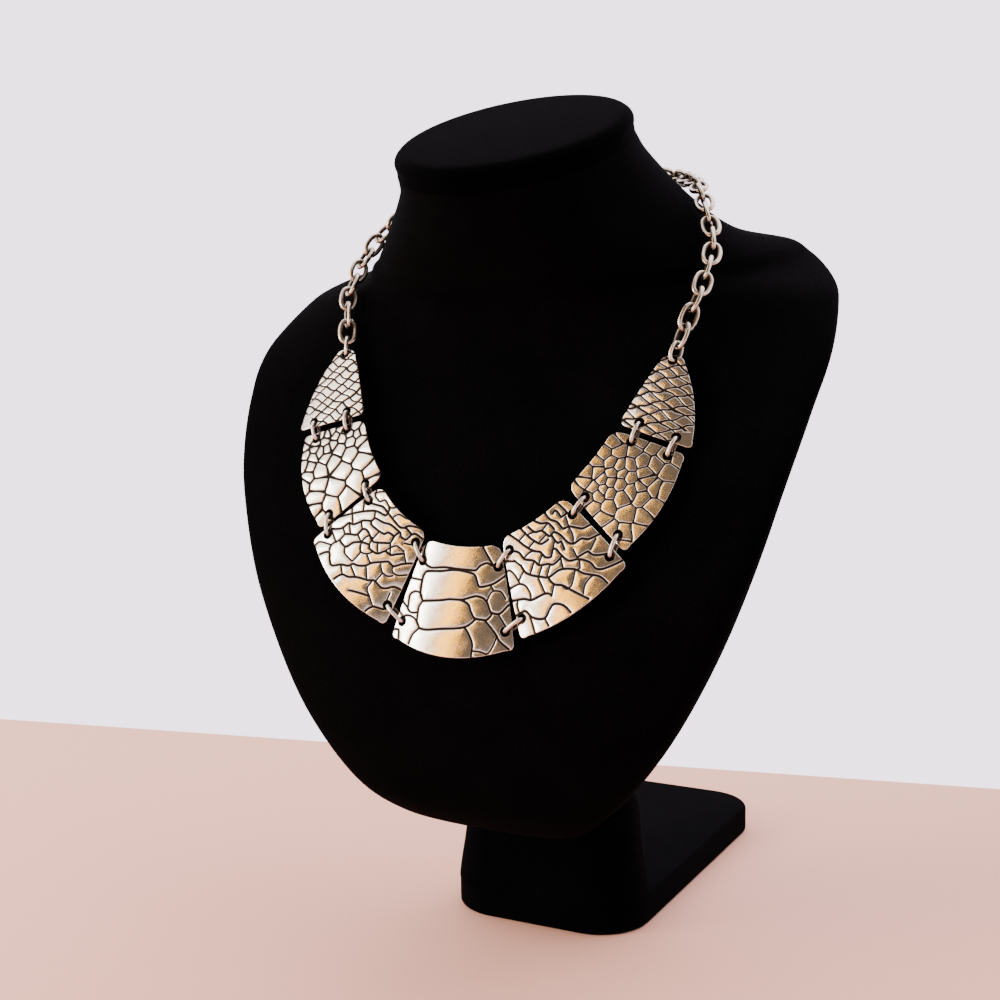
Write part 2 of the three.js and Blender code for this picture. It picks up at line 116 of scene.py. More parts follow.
PLATES = {
    "plate_centre": {
        "centre": (0, -104, 111.8), "lean": 18.1, "turn": 0, "swing": 0, "flat_at": 15,
        "corners": [(11.7, -13.9), (19.3, 13.9), (-19.3, 13.9), (-11.7, -13.9)],
        "bulges": [0.3, 3.6, 0.3, -1],
        "holes": [(11.7, -8.3), (16, 8.9), (-16, 8.9), (-11.7, -8.3)],
    },
    "plate_inner": {
        "centre": (27.6, -101.1, 122.3), "lean": 19.6, "turn": -1, "swing": 35.8, "flat_at": 14,
        "corners": [(10.1, -13.1), (17.9, 14.2), (-17.9, 12.3), (-11.1, -13.4)],
        "bulges": [0.2, 2.6, 0.2, -0.8],
        "holes": [(9.3, -9.3), (14.7, 9), (-14.7, 7.3), (-10.9, -8.2)],
    },
    "plate_outer": {
        "centre": (44.2, -91.8, 143.6), "lean": 23.8, "turn": 4.2, "swing": 59.3, "flat_at": 12,
        "corners": [(10, -11.7), (15.3, 12.5), (-15.1, 10), (-9.7, -10.9)],
        "bulges": [0.2, 2.2, 0.2, -0.5],
        "holes": [(9.4, -6.1), (12.4, 7.8), (-12.1, 5.7), (-9.7, -4.9)],
    },
    "plate_end": {
        "centre": (51.2, -83.3, 161.5), "lean": 28.8, "turn": 4.8, "swing": -4.6, "flat_at": 6,
        "corners": [(11.1, 4.7), (-11.1, 9.6), (-2.9, -16.4), (2.9, -16.4)],
        "bulges": [0.2, 1.4, 0.03, 0.2],
        "holes": [(5.1, 3.8), (-5.9, 6.8)],
        "apex": (0, -14.9),
    },
}

# -------------------- embossed skin
# Everything here is in a plate's own (u, v). A crease is charted by the points it passes through.
# The centre plate: four broad belly scales, a double line between the first two, cells at the sides.
CENTRE_DEEP = [
    [(10.9, -14.4), (11.7, -10.5), (10.6, -7.5), (8, -6.5), (4, -6.9), (0, -6.7), (-5, -6.7),
     (-6.6, -8.2), (-8.5, -9), (-10.4, -8.4), (-12.4, -8.4)],
    [(10, 2.6), (11.1, 0), (11, -3.2), (9.9, -5.4), (5, -5.8), (0.6, -6.4), (-5, -5.7), (-7.2, -2.4),
     (-10.2, -3.2), (-14.6, -6.6)],
    [(9.8, 2.8), (4, 2.2), (1, 1.7), (-2, 1.6), (-6.6, 0.2), (-8.5, 0.5), (-9.9, 1.6), (-11.6, 4.3),
     (-13.4, 4.4), (-16, 1.6)],
    [(-2.2, 1.7), (-4.6, 2.7), (-5.7, 4.7), (-7.2, 6.3), (-10, 6.4), (-11.7, 4.4)],
    [(10, 10.2), (7.5, 10.6), (3, 10), (-2, 9.4), (-4.6, 8.7), (-7.2, 6.4)],
    [(-4.2, 8.9), (-6.2, 11.2), (-7.3, 13.8), (-7.3, 17)],
    [(-10, 6.5), (-13.6, 10), (-14.6, 11.4), (-17.6, 13.4)],
    [(-6.6, -13.4), (-8.3, -11), (-10.4, -8.5)],
]
CENTRE_FINE = [
    [(9.8, 2.8), (11, 5), (11, 8), (10, 10.2), (11.8, 12.2), (13, 16)],
    [(-7.3, 15), (-9.5, 15), (-11.6, 15.4), (-13, 13.4), (-13.8, 10.4)],
    [(-9.9, 1.4), (-10.3, -0.4), (-11.4, -1.7), (-13, -1.8), (-15, 0.2)],
    [(-10.2, -3.2), (-11.4, -1.7)],
    [(-13.6, 4.6), (-16.4, 8)],
    [(15, -3.3), (11.1, -2.9)],
    [(10.3, 2.2), (11, 0.8), (12.6, 0.3), (14.6, 1.6), (14.7, 5), (13, 6.3), (11.1, 6)],
    [(17.8, 2.6), (14.7, 5)],
    [(17, 8.6), (14.4, 7.1), (12.2, 7.6), (10.4, 9.6)],
    [(19.4, 11.3), (17, 11.2), (16.4, 15)],
]

# The inner plates: ridges that run down towards the outer corner, and short creases across them.
INNER_LEFT_DEEP = [
    [(12.4, -4.3), (10.5, -2.5), (8.5, 0), (7, -0.1), (5, 1.5), (2.8, 3.8), (2, 5.3), (0, 7),
     (-1.5, 7.6), (-2.2, 8.9), (-4.4, 10.3), (-6.8, 12.5), (-8.5, 11.8), (-10.2, 10.5), (-12.4, 13)],
    [(14.6, 3.3), (12.6, 4.1), (11.3, 5.8), (9.8, 6.7), (7.2, 6.6), (5.5, 7.8), (2, 9.6), (0, 11.2),
     (-2, 12), (-3.2, 14.6)],
    [(8.8, -4.8), (7, -3), (5.8, -1.8), (4, -1.6), (2.5, 0.5), (1, 1), (-0.5, 1.2), (-1.4, 0.5),
     (-3.8, 1.5), (-6, 3.5), (-6.8, 5.5), (-7.9, 6), (-10, 5.8)],
    [(3.6, -8.3), (3.1, -6.4), (3.4, -4.4), (2, -3), (0.4, -1.8), (-1.3, -1), (-4.8, -2), (-6.4, -1.2),
     (-6.6, 0.9), (-8.5, 2.3), (-10, 3.4)],
    [(10.4, -11.4), (7.5, -11), (6.8, -10.2), (4.5, -10.4), (2.4, -9.3), (-3.2, -9.8), (-5.5, -10),
     (-8, -9), (-10.2, -8)],
    [(6.8, -10.2), (6.5, -8), (5, -7.6), (3.6, -8.3), (0, -8), (-2.2, -7), (-5.5, -6), (-5.8, -4.9),
     (-8, -3.2), (-8.8, -1.8), (-10, -0.2), (-11.4, 0.4), (-12, 2.6), (-14.9, 5.4)],
    [(3, -6.3), (1, -6), (0, -4.7), (-4.5, -4), (-5.8, -4.9)],
    [(-4, -11.2), (-3.2, -9), (-6.5, -7.8), (-10, -5), (-12.6, -2.2), (-15.2, 1)],
    [(9.6, -13.4), (8, -13.2), (4.6, -11.4), (3.9, -10.4)],
    [(8.8, 10.8), (5, 12.6), (2.9, 13.8)],
    [(15.4, 9.2), (14.6, 10.6), (11.6, 12.3), (10.8, 14.6)],
]
INNER_LEFT_FINE = [
    [(4.4, -13.8), (2.5, -12.4), (0, -11.8), (-1, -10)],
    [(-1.4, -13.8), (-4, -11.3), (-6.5, -11.8), (-8, -10.3), (-9.8, -10.4), (-11.6, -12.6)],
    [(-7.9, -13.8), (-9.8, -12.4), (-11, -11)],
    [(8.6, -7.9), (6.8, -6.9)],
    [(11, -3.2), (8.8, -4.8)],
    [(5.8, -1.8), (3.4, -4.3)],
    [(2.6, 0.5), (0.4, -1.6)],
    [(-1.3, 0.5), (-1.7, -1), (-1.6, -4.2)],
    [(-4, 1.4), (-3.6, -1), (-1.9, -1.6)],
    [(-6.4, -1.2), (-8.6, -2.6)],
    [(-6.6, 0.8), (-4.2, 1.5)],
    [(-8.6, 2.2), (-11.3, 0.4)],
    [(13.4, -1), (11.2, 1), (9.9, 1.3), (8.4, 0)],
    [(10.4, 1.9), (9, 3.2), (7.5, 3.4), (5.4, 2)],
    [(7.5, 3.4), (7.4, 6.5)],
    [(1, 1), (-0.3, 2.9), (-2, 3.6), (-3.9, 1.6)],
    [(-0.2, 2.8), (2.8, 4)],
    [(-2, 3.6), (-2.3, 7.3), (-5.4, 7.4), (-7.2, 5.9)],
    [(-10, 3.4), (-10.2, 5.8), (-10.8, 7), (-11.3, 8.5), (-10.2, 10.6)],
    [(-10.6, 7), (-14.9, 5.6)],
    [(-11.3, 8.6), (-13, 9.3), (-15.5, 10.8), (-15.8, 12.6)],
    [(-12.2, 2.6), (-10, 3.4)],
    [(-12.6, -2.1), (-15, -4)],
    [(-10, -0.2), (-12.6, -2.1)],
    [(-10.2, -5), (-11.6, -6.6), (-12.8, -7.6)],
    [(-5.6, -6), (-7, -7.6)],
    [(2, 5.2), (5, 7.9)],
    [(6.6, 7.4), (6.6, 9.2), (8.8, 10.8)],
    [(-1.8, 8.4), (1.6, 9.7)],
    [(-2, 12), (-4.4, 10.4)],
    [(13, 6), (13.6, 8), (14.6, 10.4)],
    [(11.6, 12.2), (8.8, 10.8)],
    [(3.8, -1.8), (5.8, -5), (8.4, -5.2)],
]
INNER_RIGHT_DEEP = [
    [(-8.4, -13.6), (-9.8, -9.4), (-7.9, -9.2), (-7.6, -11), (-7, -11.8), (-6.3, -11.3)],
    [(-4.3, -13.6), (-4.8, -10.5), (-6.3, -8.5), (-7, -6), (-8.5, -5.8), (-12, -3.2), (-14, -3.2)],
    [(0, -13.6), (-2.2, -10.6), (-3.8, -9.8), (-4.7, -7.2)],
    [(1.5, -11.8), (0.3, -9.4), (-1.4, -8.8), (-2.8, -6.2), (-4.2, -6.6), (-5.5, -5), (-6.6, -1.8),
     (-8, -0.8), (-10, -1), (-12, 0.2), (-14.8, 0.4)],
    [(4, -13.8), (3, -10.5), (2, -8), (0, -5.5), (-2, -5.6)],
    [(7.8, -13.8), (5.8, -10), (4.9, -8), (3, -5), (1.5, -3.7), (0.9, -1.8), (-0.5, -1), (-2, -2.6),
     (-2.8, -2), (-3.2, -0.4), (-4.5, 2.6), (-7, 3.6), (-9.6, 6.4), (-10, 8.2), (-11.8, 9.4),
     (-17.4, 10)],
    [(9, -8.8), (7, -6.8), (6.6, -4.8), (4.2, -2.6), (3.4, -0.8), (1.2, 0.2),
     (-0.4, 1.2), (-3.4, 0.4)],
    [(8.2, -3.6), (8, -1.6), (6.8, 0.2), (4.6, 2.1), (2.2, 3.6), (-0.8, 3.4), (-5, 5.6), (-6.6, 7.8),
     (-10.2, 11), (-11.1, 13.8)],
    [(2.6, 3.8), (2, 6), (0, 7.6), (-1.6, 10), (-4.8, 14.6)],
    [(15.4, 3.2), (11.6, 4.8), (9.6, 6.3), (5.4, 6.9), (4, 8.4)],
    [(17.6, 7.4), (13, 7.7), (11.6, 10.6), (8.6, 12.6), (6, 11.2), (4.6, 10.7),
     (2.4, 12.2), (1.2, 15.2)],
    [(-6.9, 3), (-10, 3), (-11, 4.6), (-14.2, 6.2)],
    [(-4.8, -0.8), (-5, -3.2), (-4, -3.3), (-3.3, -6.3)],
]
INNER_RIGHT_FINE = [
    [(14.6, 0), (11.2, 0.4), (9.4, 2.4), (9.2, 4.4), (10, 6)],
    [(8.6, 12.6), (8.4, 15)],
    [(-13.6, 1), (-11, 3)],
    [(-6.9, 0.4), (-6.9, 3)],
    [(-9, -8.6), (-8.6, -6)],
    [(-4.9, 5.8), (-2, 9), (-0.8, 9.2), (0, 7.8)],
    [(-8.5, 9.6), (-6, 10.4), (-4.2, 12.6)],
    [(2, 6), (4, 8.4)],
    [(-2.8, 0.8), (-2.2, 3.6)],
    [(0.6, 0.8), (2.8, 3)],
    [(5.2, 2), (5.4, 6.8)],
    [(9, -5.4), (11.8, -7.4)],
    [(9.4, -6), (8.2, -3.4)],
    [(10.8, 0.5), (11.2, -3), (12.4, -4.6), (14.4, -4.6)],
    [(8, -2), (10.8, -0.4)],
    [(13.4, 4), (14.4, 5.6), (14.6, 7.6)],
    [(12.2, 9.8), (12.6, 12.6), (13.2, 15)],
    [(5.8, -9.9), (3.2, -10.6)],
    [(4.2, -6.6), (1.6, -7.4)],
    [(3.6, -1), (1.3, -3)],
    [(6.6, -4.8), (4.4, -5.4), (2.6, -4.8)],
    [(7, 0), (4.2, -2.6)],
    [(5, 1.8), (3, 0)],
    [(2.2, -10), (0.4, -9.6)],
    [(-1.5, -8.8), (-3.6, -9.6)],
    [(0.4, -6.4), (-2.2, -7.2)],
    [(-0.6, -1), (-2.8, -3.6), (-3.6, -4.6)],
    [(-7.6, -1), (-8.6, -3.6), (-8.4, -5.8)],
    [(-7.2, 3.8), (-6.2, 6), (-5.4, 6)],
]

# The outer plates: the middle of each rounded scale.
OUTER_LEFT_SCALES = [
    (9.8, -8.4), (7.1, -8.8), (2.3, -7.2), (-1.2, -9.6), (-1.9, -4.2), (-4, -8.4), (7.1, -3.6),
    (2.1, -0.1), (10.4, 0.8), (6, 3.2), (-1.9, 2), (10.2, 6.4), (2.5, 8.7), (5.8, 10.6), (-1.7, 7),
    (-1.9, 11), (-5, -0.9), (-4.4, 4), (-5.4, -5.3), (-6.6, -7.9), (-7.9, -5.4), (-7.7, -2.6),
    (-7.3, 0.5), (-7.1, 3), (-9.4, -0.9), (-6.7, 8.2), (-7.3, 5.3), (-4.2, 9.9), (-5.6, 12),
    (-9.2, 7), (-9.9, 3.2), (-11.9, 0), (-8.8, 10.2), (-10.6, 6.4), (-13.1, 8), (-9.6, -8),
    (-9.5, -4.6), (-12.8, 3.8), (12.2, 11), (9.4, 11.8), (0.4, 13.6), (-11.2, 10.4), (-11, -2.8),
    (-11.7, 2), (-6.9, -10.2), (-13, -3),
]
OUTER_RIGHT_SCALES = [
    (-9.6, -8.4), (-7.5, -9), (-5.6, -5.9), (-2.9, -8.8), (-2.1, -5.9), (0, -9), (2.1, -7.6),
    (2.9, -5), (3.8, -9.8), (6.3, -8.6), (6.3, -5.9), (2.3, -2.5), (-0.2, -3.8), (-2.5, -3.4),
    (-4.4, -0.9), (-7.9, -2.4), (-1.5, -1.4), (-1.7, 1), (-7.1, 1), (-4.8, 3.7), (1.5, -0.1),
    (5, -3), (4.6, -0.9), (7.1, -3.2), (9.2, -5.5), (4.2, 2.6), (7.9, 0.8), (10.4, -2.4), (11.3, 1.4),
    (-8.3, 4.7), (-1.3, 5.3), (1, 3.7), (-3.3, 5.5), (-3.1, 8.7), (0.8, 7.2), (-3.8, 11), (-8.5, 8.7),
    (6.7, 6.6), (1.3, 11.2), (5, 10.6), (8.5, 12), (11, 9.1), (12.9, 5.3), (14.6, 10.8), (-12, 5.3),
    (-13.3, 8.7), (-11.7, 0.6), (-11.5, -2.6), (9.2, -9),
]

# The end plates: a net of two crossing families of creases, each with its slope (v over u) and its
# step along v, and the corner that is bare.
END_NET_LEFT = {"families": [(-0.95, 4.1), (0.42, 2.7)], "bare": (-9.6, 7.4)}
END_NET_RIGHT = {"families": [(0.36, 3.2), (-0.55, 3)], "bare": (-8.8, 8)}
NET_BARE_RADIUS = 3.2

# Slow waves that bend the creases: sizes along u and v, and height.
SCALY_WAVES = {"sizes": (2.3, 2.1), "height": 0.16}
NET_WAVES = {"sizes": (2.2, 1.9), "height": 0.36}

# Depths of the emboss. A scale falls from its crest to the crease round it.
DEEP_CREASE = 0.2
DEEP_HALF_WIDTH = 0.29
FINE_SHARE = 0.85
FINE_HALF_WIDTH = 0.24
# How far each kind of scale bulges, and how wide its creases are.
RELIEF = {
    "charted": (0.14, 1),
    "scaly_left": (0.16, 1),
    "scaly_right": (0.08, 0.72),
    "netted": (0.11, 0.9),
}
PILLOW_REACH = 0.9
# Creases that aren't charted count as a little further off for the deep width than for the fine one.
SCALY_DEEP_SHARE = 1.15
NET_DEEP_SHARE = 1.2
# Steps between two points of a charted crease.
LINE_STEPS = 5
# How far the painted shade round a hole reaches.
HOLE_SHADE_REACH = 0.18

# Mesh of a sheet: grid on the face and on the back, share of a grid step that stays free along an
# edge, and the rounding of its outline and of its holes.
SURFACE_GRID = 0.18
BACK_GRID = 2.0
GRID_MARGIN = 0.6
GRID_TOLERANCE = 1e-5
EDGE_RADIUS = 0.18
HOLE_EDGE_RADIUS = 0.06
ROUNDING_STEPS = 4

# -------------------- wires and clasp
# The solids have wire of 1.6 mm. The links in the photo are a little slimmer and shorter, as here.
LINK_SOLID_WIRE = 1.6
LINK_WIRE = 1.36
LINK_WIDTH_SHARE = 0.9
RING_WIRE = 1.1
RING_PLACES = [
    "centre_low", "centre_high", "inner_low", "inner_high", "outer_low", "outer_high", "chain",
]
OVAL_SQUARENESS = 2.35
WIRE_WAVES = (3, 7)
WIRE_UNEVENNESS = 0.025
# Painted shade on the inner side of each wire, darkest where it faces the middle of its loop.
INNER_SHADE = 0.42
VISIBLE_LINKS = 13
HIDDEN_LINKS = 10
LINKS_A_PIECE = 5
# The chain's line behind the neck on the right, after the last visible link.
HIDDEN_ROUTE = [(40.5, -29.5, 222.9), (33.4, -19, 224.6), (20, -8.9, 226.3), (0, -4.4, 227.2)]
ROUTE_STEPS = 40
# How far ahead and behind a point the route's direction there is taken.
DIRECTION_REACH = 0.5

CLASP = {"half_length": 7.5, "half_width": 2.6, "thickness": 1.8, "hole_inset": 3, "hole_radius": 1.6}
CLASP_END_STEPS = 20
CLASP_GRID = 0.8

# -------------------- colours
# Noise scales are per metre, and bump distances are in metres.
# The cap's velvet is darker than the body's: painted shade that keeps the cap's lit top as black as
# the rest.
VELVET_SHADES = {"velvet": 0.0016, "velvet_cap": 0.0007, "velvet_base": 0.0016}
VELVET_DARK = (0.55, 0.55, 0.62)
VELVET_PALE = (1.6, 1.6, 1.75)
VELVET_DRIFT_SCALE = 55
VELVET_PILE_SCALE = 2600
VELVET_PILE_STOPS = [(0.3, 0.35), (0.75, 1.0)]
VELVET_PILE_BUMP = (0.6, 0.0004)
VELVET_SHADER = {
    "Roughness": 1, "Specular IOR Level": 0.008,
    "Sheen Weight": 0.002, "Sheen Roughness": 0.35, "Sheen Tint": (0.7, 0.7, 0.8, 1),
}

# Each silver's tones, roughness and strength of its grain.
SILVERS = {
    "plate_silver": ((0.6, 0.585, 0.55), 0.16, 0.12),
    "ring_silver": ((0.78, 0.74, 0.67), 0.28, 0.3),
    "chain_silver": ((0.52, 0.48, 0.41), 0.24, 0.3),
}
WARM_SILVER = (0.93, 0.84, 0.70)
COOL_SILVER = (1.0, 0.96, 0.90)
SPECK_COLOUR = (0.22, 0.19, 0.16)
# One dark colour serves for oxide in the plates' creases and for painted shade round the holes and on
# the wires' inner sides.
OXIDE_AND_SHADE_COLOUR = (0.014, 0.010, 0.007)
OXIDE_AND_SHADE_ROUGHNESS = (0.7, 0.7, 0.7)
PATINA_SCALE = 420
GRAIN_SCALE = 2600
GRAIN_DISTANCE = 0.00012
PATINA_STOPS = [(0.35, 0.0), (0.7, 1.0)]
SPECK_STOPS = [(0.36, 0.5), (0.5, 0.0)]
OXIDE_AND_SHADE_STOPS = [(0.01, 0.0), (0.1, 0.25), (0.42, 1.0)]
# How much smoother and rougher than its roughness a silver gets in its patina.
ROUGHNESS_SPREAD = (-0.05, 0.08)

FLOOR_TONES = ((0.68, 0.35, 0.245), (0.72, 0.38, 0.27))
FLOOR_SCALE = 900
FLOOR_ROUGHNESS = 0.85

# -------------------- studio, in metres
TABLE_REACH = 3.0
# How far back the table's edge is at its left and right ends.
TABLE_EDGE = (-0.526, 0.746)
ROOM_COLOUR = (3.25, 2.85, 3.25)
DIM_COLOUR = (0.28, 0.21, 0.155)
# Where the dim part of the room begins and is full, along each axis of the direction.
DIM_PART = [("Y", 0.1, -0.45), ("Z", 0.06, 0.22)]

BIB = (0, -0.1, 0.13)
BUST = (0, 0, 0.1)
# Soft lights: name, place, what it points at, size, watts, colour, slant in degrees.
LIGHTS = [
    ("key", (-0.775, -0.719, 0.304), BIB, (0.25, 0.62), 8.5, (1, 1, 1), 0),
    ("side", (-0.739, -0.637, 0.537), BIB, (0.5, 1.25), 10, (1, 0.95, 0.93), 0),
    ("warm", (-0.446, -0.872, 0.584), BIB, (0.105, 0.8), 3, (1, 0.44, 0), -8),
    ("top", (0.1, 0.45, 1.2), BUST, (1.4, 1), 8, (1, 1, 1), 0),
]

# Angles in degrees; lens and sensor in millimetres.
CAMERA = {
    "place": (0.2146, -0.49, 0.2035), "azimuth": 27.5, "down": 8.5, "roll": -0.75,
    "lens": 59.47, "sensor": 36, "clip": (0.01, 50),
}

rng = np.random.default_rng(11)


# -------------------- mesh helpers
def weld(mesh):
    """Joins the points that a sheet's faces share with its edges, so that it is closed."""
    shape = bmesh.new()
    shape.from_mesh(mesh)
    bmesh.ops.remove_doubles(shape, verts=shape.verts, dist=WELD_DISTANCE * MM)
    shape.to_mesh(mesh)
    shape.free()


def place_object(name, data):
    thing = bpy.data.objects.new(name, data)
    bpy.context.scene.collection.objects.link(thing)
    return thing


def finish_piece(name, points, faces, material, slot, node, crease=None):
    """Makes a smooth shaded piece on the part's body that stands for the named node."""
    mesh = bpy.data.meshes.new(name)
    mesh.from_pydata((np.asarray(points) * MM).tolist(), [], faces)
    if crease is not None:
        # The crease attribute holds how dark each point is: oxide in creases, painted shade at holes
        # and inside wires.
        layer = mesh.attributes.new("crease", "FLOAT", "POINT")
        layer.data.foreach_set("value", np.asarray(crease, np.float32))
    weld(mesh)
    mesh.validate()
    mesh.polygons.foreach_set("use_smooth", [True] * len(mesh.polygons))
    mesh.materials.append(material)
    piece = place_object(name, mesh)
    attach(piece, BODY)
    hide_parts(node)


def band(first, second, count):
    """Quads between two closed rings of vertices that start at first and second."""
    return [
        (first + i, first + (i + 1) % count, second + (i + 1) % count, second + i)
        for i in range(count)
    ]


def stack(rings):
    """Closes a stack of equal rings, anticlockwise from above, into a solid."""
    count = len(rings[0])
    points = np.vstack([np.asarray(rings).reshape(-1, 3), rings[0].mean(0), rings[-1].mean(0)])
    faces = []
    for row in range(len(rings) - 1):
        faces += band(row * count, (row + 1) * count, count)
    top_row = (len(rings) - 1) * count
    for i in range(count):
        after = (i + 1) % count
        faces.append((len(points) - 2, after, i))
        faces.append((len(points) - 1, top_row + i, top_row + after))
    return points, faces


def smooth_rows(table, steps):
    """Interpolates the columns of a table without overshooting between its rows."""
    table = np.asarray(table, float)
    rise = np.diff(table, axis=0)
    slopes = np.zeros_like(table)
    near, far = rise[:-1], rise[1:]
    total = np.where(near + far == 0, 1, near + far)
    slopes[1:-1] = np.where(near * far > 0, 2 * near * far / total, 0)
    for end, one, two in ((0, rise[0], rise[1]), (-1, rise[-1], rise[-2])):
        slope = (3 * one - two) / 2
        slope = np.where((one * two < 0) & (abs(slope) > 3 * abs(one)), 3 * one, slope)
        slopes[end] = np.where(slope * one <= 0, 0, slope)
    rows = []
    for i in range(len(table) - 1):
        for t in np.arange(steps) / steps:
            rows.append(
                (2 * t**3 - 3 * t**2 + 1) * table[i] + (t**3 - 2 * t**2 + t) * slopes[i]
                + (3 * t**2 - 2 * t**3) * table[i + 1] + (t**3 - t**2) * slopes[i + 1]
            )
    return np.array(rows + [table[-1]])


def quarter_turn(steps):
    """Angles from 0 to a right angle."""
    return [math.pi / 2 * i / steps for i in range(steps + 1)]


# -------------------- bust pieces
def signed_power(value, power):
    return np.sign(value) * np.abs(value) ** power


def body_section(row, overhang=0.0):
    """One ring of the body, anticlockwise from above."""
    z, half, y, front, back, front_power, back_power, tilt = row
    angle = 2 * np.pi * np.arange(BODY_SEGMENTS) / BODY_SEGMENTS
    in_front = np.sin(angle) < 0
    power = 2 / np.where(in_front, front_power, back_power)
    along = (np.where(in_front, front, back) + overhang) * signed_power(np.sin(angle), power)
    tilt = math.radians(tilt)
    x = (half + overhang) * signed_power(np.cos(angle), power)
    return np.column_stack([x, y + along * math.cos(tilt), z + along * math.sin(tilt)])


def make_body(material):
    rings = [body_section(row) for row in smooth_rows(BODY_SECTIONS, BODY_STEPS)]
    finish_piece("velvet_body", *stack(rings), material, "velvet", "bust_body")


def make_cap(material):
    neck = BODY_SECTIONS[-1]
    tilt = math.radians(neck[-1])
    normal = np.array([0, -math.sin(tilt), math.cos(tilt)])
    rings = [
        body_section(neck, overhang) + height * normal
        for height, overhang in smooth_rows(CAP_PROFILE, CAP_STEPS)
    ]
    rim = rings[-1]
    middle = rim.mean(0)
    for i in range(1, CAP_RINGS_INSIDE):
        share = 1 - i / CAP_RINGS_INSIDE
        rings.append(middle + (rim - middle) * share + normal * CAP_DOME * (1 - share**2))
    points, faces = stack(rings)
    points[-1] += normal * CAP_DOME * CAP_PEAK_SHARE
    finish_piece("velvet_cap", points, faces, material, "velvet_cap", "neck_cap")


def rounded_rectangle(half, front, back, corner, z, grow=0.0, steps=14, side_steps=16):
    """Anticlockwise outline of corner arcs, with the sides between them divided too."""
    radius = corner + grow
    middles = [
        (half - corner, back - corner), (corner - half, back - corner),
        (corner - half, front + corner), (half - corner, front + corner),
    ]
    outline = []
    for quarter, (x, y) in enumerate(middles):
        for i in range(steps + 1):
            angle = math.pi / 2 * (quarter + i / steps)
            outline.append((x + radius * math.cos(angle), y + radius * math.sin(angle), z))
        next_x, next_y = middles[(quarter + 1) % 4]
        angle = math.pi / 2 * (quarter + 1)
        start = np.array(outline[-1])
        end = np.array([next_x + radius * math.cos(angle), next_y + radius * math.sin(angle), z])
        for i in range(1, side_steps):
            outline.append(tuple(start + (end - start) * i / side_steps))
    return np.array(outline)


def make_post(material):
    rings = []
    for z, half, front, back, corner in smooth_rows(POST_LEVELS, POST_STEPS):
        corner = min(corner, (back - front) / 2 - SHORTEST_HALF_SIDE)
        rings.append(rounded_rectangle(half, front, back, corner, z))
    finish_piece("velvet_foot", *stack(rings), material, "velvet_base", "base_post")


def make_base(material):
    """The flat base, with its lower and upper edges rounded."""
    half, depth, thickness, corner, edge = BASE.values()
    levels = [
        (-edge * (1 - math.sin(angle)), edge * (1 - math.cos(angle)))
        for angle in quarter_turn(BASE_EDGE_STEPS)
    ]
    levels += [(grow, thickness - z) for grow, z in reversed(levels)]
    rings = [rounded_rectangle(half, -depth, depth, corner, z, grow) for grow, z in levels]
    finish_piece("velvet_base", *stack(rings), material, "velvet_base", "base_plate")


# -------------------- sheets
def circle(middle, radius, count=28):
    angle = 2 * np.pi * np.arange(count) / count
    return np.column_stack([middle[0] + radius * np.cos(angle), middle[1] + radius * np.sin(angle)])


def inset(loop, distance):
    """Moves a loop to its left by distance: inwards for an anticlockwise one."""
    tangent = np.roll(loop, -1, 0) - np.roll(loop, 1, 0)
    tangent /= np.linalg.norm(tangent, axis=1)[:, None]
    return loop + distance * np.column_stack([-tangent[:, 1], tangent[:, 0]])


def inside(points, loop):
    """True where a point lies in the loop."""
    x, y = points[:, 0], points[:, 1]
    found = np.zeros(len(points), bool)
    for (x0, y0), (x1, y1) in zip(loop, np.roll(loop, -1, 0)):
        crosses = (y0 > y) != (y1 > y)
        if y0 != y1:
            found ^= crosses & (x < (x1 - x0) * (y - y0) / (y1 - y0) + x0)
    return found


def fill(outer, holes, spacing):
    """Points and triangles over an outline with holes. The points of the loops come first."""
    low, high = outer.min(0), outer.max(0)
    rows = np.arange(low[1], high[1], spacing * math.sqrt(3) / 2)
    columns = np.arange(low[0], high[0], spacing)
    u, v = np.meshgrid(columns, rows)
    u = u + (np.arange(len(rows)) % 2)[:, None] * spacing / 2
    grid = np.column_stack([u.ravel(), v.ravel()])
    margin = spacing * GRID_MARGIN
    keep = inside(grid, inset(outer, margin))
    for hole in holes:
        middle = hole.mean(0)
        radius = np.linalg.norm(hole[0] - middle)
        keep &= np.linalg.norm(grid - middle, axis=1) > radius + margin
    loops = [outer, *holes]
    points = np.vstack([*loops, grid[keep]])
    edges, start = [], 0
    for loop in loops:
        edges += [(start + i, start + (i + 1) % len(loop)) for i in range(len(loop))]
        start += len(loop)
    within_edges = 1
    result = delaunay_2d_cdt([Vector(p) for p in points], edges, [], within_edges, GRID_TOLERANCE)
    points = np.array([tuple(p) for p in result[0]])
    triangles = np.array(result[2])
    middles = points[triangles].mean(1)
    kept = inside(middles, outer)
    for hole in holes:
        kept &= ~inside(middles, hole)
    triangles = triangles[kept]
    a, b, c = (points[triangles[:, k]] for k in range(3))
    (ab_u, ab_v), (ac_u, ac_v) = (b - a).T, (c - a).T
    turned = ab_u * ac_v - ab_v * ac_u < 0
    triangles[turned] = triangles[turned][:, ::-1]
    return points, triangles


